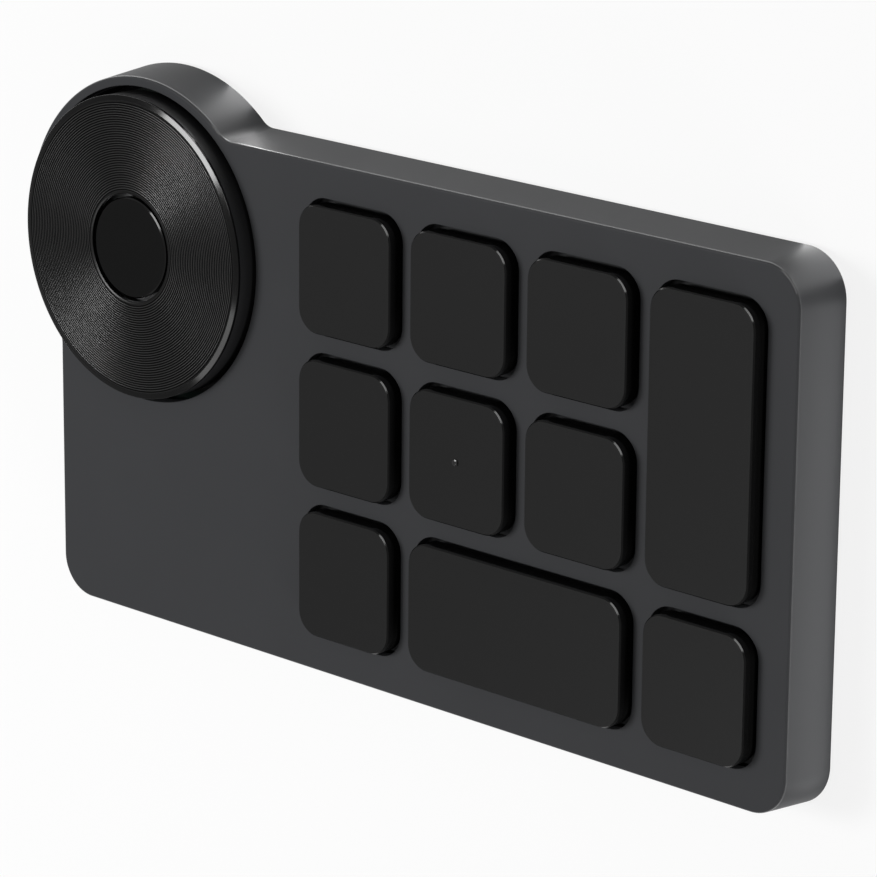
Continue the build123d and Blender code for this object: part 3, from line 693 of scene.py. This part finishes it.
def cut_side(bm, outer, inner, slots, wall):
    """Cuts slots through the left wall, given its outer and inner faces."""
    outer_edges = list(outer.edges)
    inner_edges = list(inner.edges)
    outer.normal_update()
    foot = min((vert.co for vert in outer.verts), key=lambda co: co.z)
    lean = -outer.normal.z / outer.normal.x
    upright = Matrix((
        (lean, 0.0, 0.0, foot.x - lean * foot.z),
        (0.0, 1.0, 0.0, 0.0),
        (1.0, 0.0, 0.0, 0.0),
        (0.0, 0.0, 0.0, 1.0)))
    open_end(bm, outer)
    open_end(bm, inner)
    for low, high, radius in slots:
        flat = rounded_face(bm, Vector((low.z, low.y)), Vector((high.z, high.y)), radius, 0.0)
        bmesh.ops.transform(bm, matrix=upright, verts=flat.verts)
        outer_edges += list(flat.edges)
        back = bmesh.ops.extrude_discrete_faces(bm, faces=[flat])["faces"][0]
        bmesh.ops.translate(bm, verts=back.verts, vec=(wall, 0.0, 0.0))
        inner_edges += list(back.edges)
        open_end(bm, back)
    for edges, look in ((outer_edges, -1.0), (inner_edges, 1.0)):
        fill_between(bm, [edge for edge in edges if edge.is_valid], (look, 0.0, 0.0))


def widest_wall(bm, toward, reach):
    """The largest four-sided face at the left that looks one way along X."""
    walls = [
        face for face in bm.faces
        if face.normal.x * toward > SIDE_NORMAL
        and face.calc_center_median().x < reach and len(face.verts) == 4]
    return max(walls, key=lambda face: face.calc_area())


class REMOTE_OT_top_cover(bpy.types.Operator):
    """Moulds the top cover: leaning walls, bevelled face, key openings, dial well, side slots"""
    bl_idname = "remote.top_cover"
    bl_label = "Top cover"

    def execute(self, context):
        scene = context.scene
        case = scene.remote_case
        low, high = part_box("top_cover")
        bm = bmesh.new()
        self.raise_shell(bm, case, high.z - low.z)
        self.open_keys(bm, case, scene.remote_keys.corner_radius, high.z)
        self.sink_well(bm, case, high.z)
        fill_level(bm, high.z, 1.0)
        fill_level(bm, high.z - case.face_thickness, -1.0)
        bmesh.ops.remove_doubles(bm, verts=bm.verts, dist=SAME_PLACE)
        bmesh.ops.recalc_face_normals(bm, faces=bm.faces)
        self.cut_slots(bm, case, low.x)
        make_piece(bm, "top_cover_moulding", "case", "case_plastic", "top_cover", scene)
        return {"FINISHED"}

    def raise_shell(self, bm, case, height):
        """Raises the leaning walls and their inside, both open at the face plate."""
        shoulder = height - case.edge_bevel
        hollow = height - case.face_thickness
        bevel = quarter_round(case.edge_bevel, BEVEL_STEPS)
        open_end(bm, carry(bm, case_outline(bm, case), [(case.wall_lean, shoulder)] + bevel))
        inside = case_outline(bm, case)
        inside.normal_flip()
        lean = case.wall_lean * hollow / shoulder
        open_end(bm, carry(bm, inside, [(case.wall, 0.0), (lean, -hollow)]))

    def open_keys(self, bm, case, corner, face):
        """Sinks the walls of the key openings."""
        room = case.key_gap + case.lip
        spread = Vector((room, room, 0.0))
        for number in range(1, KEY_COUNT + 1):
            low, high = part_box(f"key_cap_{number}")
            mouth = rounded_face(bm, low - spread, high + spread, corner + room, face)
            open_end(bm, carry(bm, mouth, sunk_edge(case.lip, case.face_thickness)))

    def sink_well(self, bm, case, face):
        """Sinks the dial's well and the collar round it."""
        middle = middle_of("dial_disc")
        well = radius_of("dial_disc") + case.well_gap
        mouth = round_face(bm, middle, well + case.lip, face)
        open_end(bm, carry(bm, mouth, sunk_edge(case.lip, case.well_depth)))
        collar = round_face(bm, middle, well + case.well_wall, face - case.face_thickness)
        collar.normal_flip()
        drop = case.well_depth - case.face_thickness
        open_end(bm, carry(bm, collar, [(0.0, drop), (case.well_wall, 0.0)]))

    def cut_slots(self, bm, case, left):
        """Cuts the port's hole and the power slider's slot."""
        low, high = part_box("port_shell")
        room = Vector((0.0, case.port_gap, case.port_gap))
        port_round = (high.z - low.z) / 2 + NEARLY_ROUND * case.port_gap
        slot = middle_of("power_slider") + Vector((0.0, case.slider_travel / 2, 0.0))
        half = Vector((0.0, case.slider_slot_length / 2, case.slider_slot_height / 2))
        slots = (
            (low - room, high + room, port_round),
            (slot - half, slot + half, case.slider_slot_corner))
        reach = left + case.lobe_overhang + 2 * case.wall
        outer, inner = widest_wall(bm, -1.0, reach), widest_wall(bm, 1.0, reach)
        cut_side(bm, outer, inner, slots, case.wall)


class REMOTE_OT_key_caps(bpy.types.Operator):
    """Moulds the ten hollow key caps with bevelled edges, stems, hooks and guide pins"""
    bl_idname = "remote.key_caps"
    bl_label = "Key caps"

    def execute(self, context):
        scene = context.scene
        keys = scene.remote_keys
        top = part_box("key_cap_1")[1].z
        for number in range(1, KEY_COUNT + 1):
            name = f"key_cap_{number}"
            low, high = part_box(name)
            dome = middle_of(f"key_dome_{number}")
            bm = bmesh.new()
            self.mould_cap(bm, keys, low, high, top)
            self.add_stem(bm, keys, low, high, Vector((dome.x, dome.y, low.z)), top)
            if high.z - top > SAME_PLACE:
                self.add_dot(bm, keys, middle_of(name), top)
            make_piece(bm, f"{name}_moulding", f"key_{number}", "key_plastic", name, scene)
        return {"FINISHED"}

    def mould_cap(self, bm, keys, low, high, top):
        """Raises a key's bevelled outside and its hollow underside."""
        foot = top - keys.skirt
        bevel = keys.edge_bevel
        outside = rounded_face(bm, low, high, keys.corner_radius, foot)
        carry(bm, outside, [(0.0, keys.skirt - bevel), (bevel, bevel)])
        inside = rounded_face(bm, low, high, keys.corner_radius, foot)
        inside.normal_flip()
        carry(bm, inside, [(keys.wall, 0.0), (0.0, keys.skin - keys.skirt)])

    def add_stem(self, bm, keys, low, high, foot, top):
        """Stands the stem, its hooks and a long key's guide pins under a key's skin."""
        rise = UPRIGHT * (top - keys.skin - low.z)
        half = Vector((keys.stem / 2, keys.stem / 2, 0.0))
        post(bm, foot - half, foot + half + rise, keys.stem_corner)
        half = Vector((keys.hook_length / 2, keys.hook_width / 2, 0.0))
        post(bm, foot - half, foot + half + UPRIGHT * keys.hook_height, keys.hook_corner)
        half = Vector((keys.guide_radius, keys.guide_radius, 0.0))
        for pin in self.guide_places(low, high, foot):
            post(bm, pin - half, pin + half + rise, NEARLY_ROUND * keys.guide_radius)

    def guide_places(self, low, high, foot):
        """Feet of a long key's two guide pins, in the middles of the grid cells that it covers."""
        first, beside, below = (middle_of(f"key_cap_{number}") for number in (1, 2, 5))
        across = Vector(((beside.x - first.x) / 2, 0.0, 0.0))
        along = Vector((0.0, (first.y - below.y) / 2, 0.0))
        if high.x - low.x > 2 * across.x:
            return foot - across, foot + across
        if high.y - low.y > 2 * along.y:
            return foot - along, foot + along
        return ()

    def add_dot(self, bm, keys, middle, top):
        """Raises the small dot that marks the home key, with its root in the key's top."""
        root = top - keys.dot_root
        slope = keys.dot_radius - keys.dot_top
        dome = [(slope * inset, keys.dot_height * rise) for inset, rise in DOT_PROFILE]
        foot = round_face(bm, middle, keys.dot_radius, root, DOT_STEPS)
        carry(bm, foot, [(0.0, keys.dot_root)] + dome)
        round_face(bm, middle, keys.dot_radius, root, DOT_STEPS).normal_flip()


class REMOTE_OT_dial_disc(bpy.types.Operator):
    """Turns the dial's disc with its fine round grooves and polished rim"""
    bl_idname = "remote.dial_disc"
    bl_label = "Dial disc"

    def execute(self, context):
        scene = context.scene
        dial = scene.remote_dial
        low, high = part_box("dial_disc")
        middle = middle_of("dial_disc")
        outer = radius_of("dial_disc")
        hole = radius_of("centre_button") + dial.hole_gap
        rim = [(outer, low.z), (outer, high.z - dial.rim_drop), (outer - dial.rim_run, high.z)]
        lip = [(hole + dial.lip_run, high.z), (hole, high.z - dial.lip_drop), (hole, low.z)]
        band = [(radius, high.z) for radius in groove_band(dial)]
        bm = bmesh.new()
        verts = [
            bm.verts.new((middle.x + radius, middle.y, height))
            for radius, height in rim + band + lip]
        edges = [bm.edges.new(pair) for pair in zip(verts, verts[1:] + verts[:1])]
        self.cut_grooves(bm, dial, edges[len(rim)])
        bmesh.ops.spin(
            bm, geom=bm.verts[:] + bm.edges[:], cent=middle, axis=UPRIGHT, dvec=(0.0, 0.0, 0.0),
            angle=math.tau, steps=DISC_STEPS, use_merge=True, use_normal_flip=False,
            use_duplicate=False)
        for radius, height in rim[1:] + lip + rim[:1]:
            self.ease(bm, middle, radius, height, dial.edge_round)
        make_piece(
            bm, "dial_disc_turned", "dial", "dial_metal", "dial_disc", scene, crease=DISC_CREASE)
        return {"FINISHED"}

    def cut_grooves(self, bm, dial, edge):
        """Divides the band's edge and sinks its points into grooves."""
        points = len(GROOVE_PROFILE)
        cut = bmesh.ops.subdivide_edges(bm, edges=[edge], cuts=points * dial.groove_count - 1)
        verts = [part for part in cut["geom_inner"] if isinstance(part, bmesh.types.BMVert)]
        verts.sort(key=lambda vert: -vert.co.x)
        for number, vert in enumerate(verts, 1):
            vert.co.z -= dial.groove_depth * GROOVE_PROFILE[number % points]

    def ease(self, bm, middle, radius, height, offset):
        """Rounds over the turned edge at a radius and height."""
        turned = [
            edge for edge in bm.edges
            if all(
                abs((vert.co.xy - middle.xy).length - radius) < SAME_PLACE
                and abs(vert.co.z - height) < SAME_PLACE for vert in edge.verts)]
        bmesh.ops.bevel(
            bm, geom=turned, offset=offset, offset_type="OFFSET", segments=EASE_STEPS,
            profile=0.5, affect="EDGES", material=-1)


class REMOTE_OT_centre_button(bpy.types.Operator):
    """Moulds the round button in the middle of the dial"""
    bl_idname = "remote.centre_button"
    bl_label = "Centre button"

    def execute(self, context):
        scene = context.scene
        dial = scene.remote_dial
        low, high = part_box("centre_button")
        middle = middle_of("centre_button")
        radius = radius_of("centre_button")
        foot = high.z - dial.button_skirt
        bevel = dial.button_bevel
        bm = bmesh.new()
        cap = round_face(bm, middle, radius, foot)
        carry(bm, cap, [(0.0, dial.button_skirt - bevel), (bevel, bevel)])
        under = round_face(bm, middle, radius, foot)
        under.normal_flip()
        carry(bm, under, [(radius - dial.button_stem, 0.0), (0.0, foot - low.z)])
        make_piece(
            bm, "centre_button_moulding", "button", "button_plastic", "centre_button", scene)
        return {"FINISHED"}


class REMOTE_OT_finishes(bpy.types.Operator):
    """Gives every CAD part the finish of its slot"""
    bl_idname = "remote.finishes"
    bl_label = "Part finishes"

    def execute(self, context):
        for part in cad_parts.values():
            for holder in part.material_slots:
                holder.material = finish_for(holder.material.name, context.scene)
        return {"FINISHED"}


def add_lamp(scene, name, place, turn, size, watts):
    """Sets a soft lamp in a place, turned one way."""
    lamp = bpy.data.lights.new(name, "AREA")
    lamp.shape = "RECTANGLE"
    lamp.size, lamp.size_y = size
    lamp.energy = watts
    hung = bpy.data.objects.new(name, lamp)
    scene.collection.objects.link(hung)
    hung.location = place
    hung.rotation_euler = turn
    hung.visible_camera = False
    return hung


def seen_rays(place):
    """One for rays that show the background: to the camera, in gloss and through glass."""
    kinds = ("Is Camera Ray", "Is Glossy Ray", "Is Transmission Ray")
    camera, gloss, glass = (place.node("ShaderNodeLightPath", {}, {}, out=kind) for kind in kinds)
    return place.maths("MAXIMUM", camera, place.maths("MAXIMUM", gloss, glass))


class REMOTE_OT_stage(bpy.types.Operator):
    """Sets the pale floor, the soft lamps and the camera"""
    bl_idname = "remote.stage"
    bl_label = "Stage"

    def execute(self, context):
        scene = context.scene
        stage = scene.remote_stage
        aim = Vector(stage.aim)
        self.set_camera(scene, stage, aim)
        self.lay_floor(scene, stage)
        self.hang_lamps(scene, stage, aim)
        self.lay_cards(scene)
        self.set_world(scene, stage)
        scene.view_settings.view_transform = "Standard"
        return {"FINISHED"}

    def set_camera(self, scene, stage, aim):
        """Sets the camera at the photograph's viewing angle."""
        film = bpy.data.cameras.new("Photograph view")
        film.sensor_width = FILM_WIDTH
        film.lens = stage.lens
        film.clip_start = NEAR_CLIP
        camera = bpy.data.objects.new("Photograph view", film)
        scene.collection.objects.link(camera)
        camera.matrix_world = (
            Matrix.Translation(aim)
            @ Matrix.Rotation(stage.azimuth, 4, "Z")
            @ Matrix.Rotation(QUARTER_TURN - stage.elevation, 4, "X")
            @ Matrix.Rotation(stage.roll, 4, "Z")
            @ Matrix.Translation((0.0, 0.0, stage.distance)))
        scene.camera = camera

    def lay_floor(self, scene, stage):
        """Lays the floor just under the feet."""
        bm = bmesh.new()
        level = Matrix.Translation((0.0, 0.0, -FLOOR_DROP))
        bmesh.ops.create_grid(bm, x_segments=1, y_segments=1, size=FLOOR_REACH, matrix=level)
        mesh = bpy.data.meshes.new("floor")
        bm.to_mesh(mesh)
        bm.free()
        floor = bpy.data.objects.new("floor", mesh)
        scene.collection.objects.link(floor)
        mesh.materials.append(self.floor_finish(stage.floor_colour))

    def floor_finish(self, shade):
        """Pale floor that looks white, keeps a soft shadow and is clear from below."""
        material, place = new_finish("Pale floor")
        seen = seen_rays(place)
        cloud = speckle(place, 150 * MM)
        paint = principled(
            place,
            Base_Color=mottled(place, cloud, shade, 0.01),
            Roughness=1.0,
            Specular_IOR_Level=0.0)
        glow = place.node("ShaderNodeEmission", {}, {"Color": WHITE, "Strength": 1.0})
        mixed = place.node("ShaderNodeMixShader", {}, {0: FLOOR_GLOW * seen, 1: paint, 2: glow})
        below = place.node("ShaderNodeNewGeometry", {}, {}, out="Backfacing")
        clear = place.node("ShaderNodeBsdfTransparent", {}, {})
        end_in(place.node("ShaderNodeMixShader", {}, {0: below, 1: mixed, 2: clear}))
        return material

    def hang_lamps(self, scene, stage, aim):
        """Hangs the soft lamps, which all face the point that the camera looks at."""
        # Name, power, place from that point, size, shows in gloss, lights matte surfaces
        lamps = (
            ("Overhead", stage.overhead_power, (-0.448, 0.136, 0.805), (0.15, 0.31), True, True),
            ("Front", stage.front_power, (-0.455, -0.493, 0.893), (0.19, 0.42), True, True),
            ("Left", stage.left_power, (-0.62, 0.087, 0.75), (0.3, 0.3), False, True),
            ("Right", stage.right_power, (0.62, -0.49, 0.11), (0.4, 0.2), False, True),
            ("Rear", stage.rear_power, (0.334, 0.603, 0.579), (0.8, 0.25), True, False),
        )
        for name, watts, place, size, in_gloss, on_matte in lamps:
            place = Vector(place)
            turn = (-place).to_track_quat("-Z", "Y").to_euler()
            hung = add_lamp(scene, f"{name} lamp", aim + place, turn, size, watts)
            hung.visible_glossy = in_gloss
            hung.visible_diffuse = on_matte

    def lay_cards(self, scene):
        """Lays small light cards on the floor, which show only in gloss."""
        # Name, place and size in millimetres, turn in degrees, brightness
        cards = (
            ("Corner card", (71.4, 36.1), (16.0, 9.0), 28.0, 5.4),
            ("Lobe card", (-35.7, 43.2), (5.0, 13.5), 0.0, 8.5),
            ("Right card", (76.5, -7.5), (8.0, 69.0), 0.0, 3.1),
            ("Rear card", (-20.0, 79.0), (180.0, 42.0), 0.0, 3.0),
        )
        for name, (x, y), (width, depth), degrees, bright in cards:
            place = (x * MM, y * MM, CARD_HEIGHT)
            size = (width * MM, depth * MM)
            turn = (math.pi, 0.0, math.radians(degrees))
            watts = math.pi * size[0] * size[1] * bright
            add_lamp(scene, name, place, turn, size, watts).visible_diffuse = False

    def set_world(self, scene, stage):
        """Even light from all round."""
        world = bpy.data.worlds.new("Studio")
        world.use_nodes = True
        light = world.node_tree.nodes["Background"].inputs
        light["Color"].default_value = WHITE
        light["Strength"].default_value = stage.fill
        scene.world = world


class REMOTE_PT_panel(bpy.types.Panel):
    """Lists the remote's pieces and settings"""
    bl_idname = "REMOTE_PT_panel"
    bl_label = "Shortcut Remote"
    bl_space_type = "VIEW_3D"
    bl_region_type = "UI"
    bl_category = "Remote"

    def draw(self, context):
        for operator in OPERATORS:
            self.layout.operator(operator.bl_idname)
        for name in SETTINGS:
            group = getattr(context.scene, name)
            box = self.layout.box()
            for setting in group.bl_rna.properties.keys():
                if setting not in ("rna_type", "name"):
                    box.prop(group, setting)


SETTINGS = {
    "remote_case": CaseSettings,
    "remote_keys": KeySettings,
    "remote_dial": DialSettings,
    "remote_stage": StageSettings,
}
OPERATORS = (
    REMOTE_OT_finishes,
    REMOTE_OT_top_cover,
    REMOTE_OT_key_caps,
    REMOTE_OT_dial_disc,
    REMOTE_OT_centre_button,
    REMOTE_OT_stage,
)


def register():
    for group in SETTINGS.values():
        bpy.utils.register_class(group)
    for name, group in SETTINGS.items():
        setattr(bpy.types.Scene, name, bpy.props.PointerProperty(type=group))
    for operator in OPERATORS:
        bpy.utils.register_class(operator)
    bpy.utils.register_class(REMOTE_PT_panel)


def unregister():
    bpy.utils.unregister_class(REMOTE_PT_panel)
    for operator in reversed(OPERATORS):
        bpy.utils.unregister_class(operator)
    for name, group in SETTINGS.items():
        delattr(bpy.types.Scene, name)
        bpy.utils.unregister_class(group)


def main():
    register()
    bpy.ops.remote.finishes()
    bpy.ops.remote.top_cover()
    bpy.ops.remote.key_caps()
    bpy.ops.remote.dial_disc()
    bpy.ops.remote.centre_button()
    bpy.ops.remote.stage()


if __name__ == "__main__":
    main()
